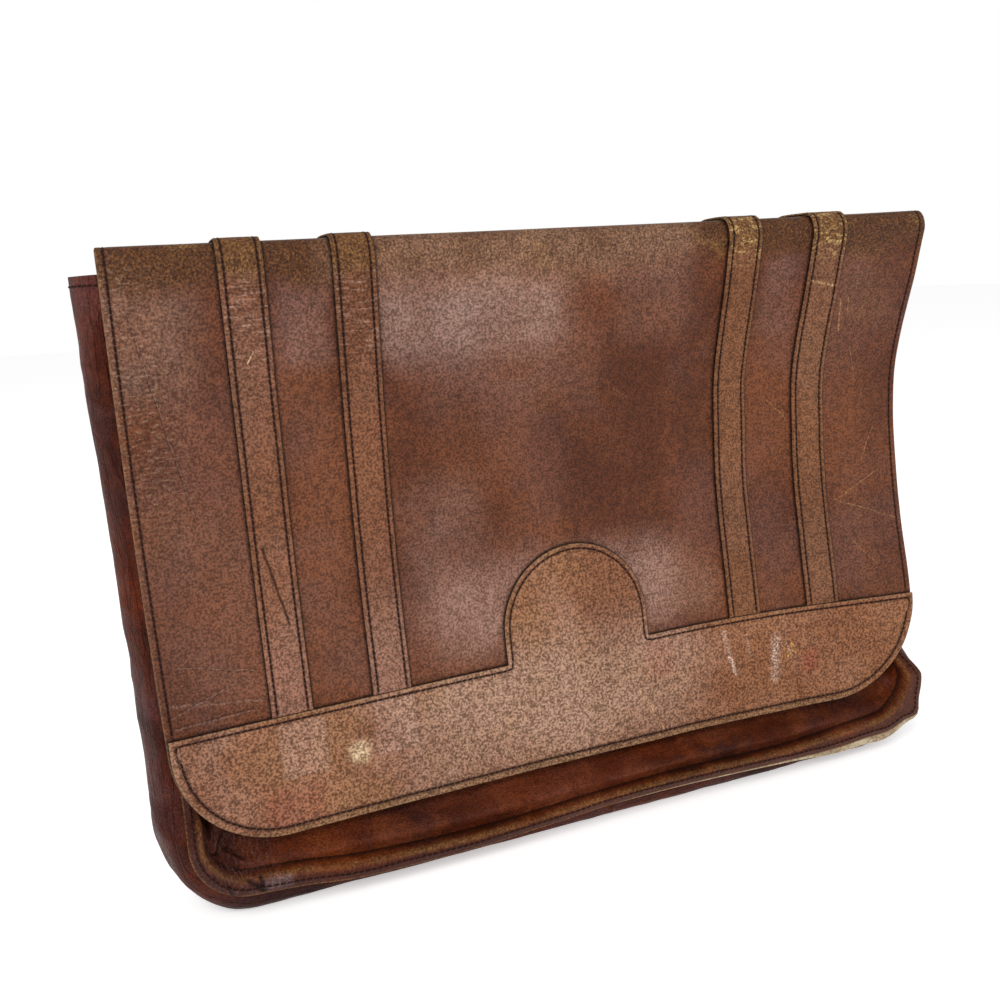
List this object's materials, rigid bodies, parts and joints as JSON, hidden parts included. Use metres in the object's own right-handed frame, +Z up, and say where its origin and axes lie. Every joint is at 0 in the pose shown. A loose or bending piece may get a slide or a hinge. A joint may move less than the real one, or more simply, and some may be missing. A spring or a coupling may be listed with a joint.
{
  "type": "leather document case",
  "caption": "Flat leather case standing on its gusset: full front flap folded over the top, stitched strips, a lower band with a round tab, and a front pocket with a welted edge.",
  "frame": {"origin": "middle of the bounding box at floor level, under the gusset's flat bottom", "axes": "+X to the viewer's right along the width, +Y from the flap to the back panel, +Z up"},
  "size_m": [0.424, 0.0608, 0.2998],
  "materials": {
    "flap_leather": "waxed cowhide, worn, satin",
    "strip_leather": "waxed cowhide, rubbed, satin",
    "band_leather": "rubbed nubuck, nearly matt",
    "panel_leather": "smooth cowhide, semi-gloss",
    "gusset_leather": "smooth cowhide, semi-gloss"
  },
  "bodies": {
    "root": {"back_and_flap": "flap_leather", "flap_band": "band_leather", "strip_left_outer": "strip_leather", "strip_left_inner": "strip_leather", "strip_right_inner": "strip_leather", "strip_right_outer": "strip_leather", "front_panel": "panel_leather", "gusset_left": "gusset_leather", "gusset_right": "gusset_leather"}
  },
  "joints": []
}
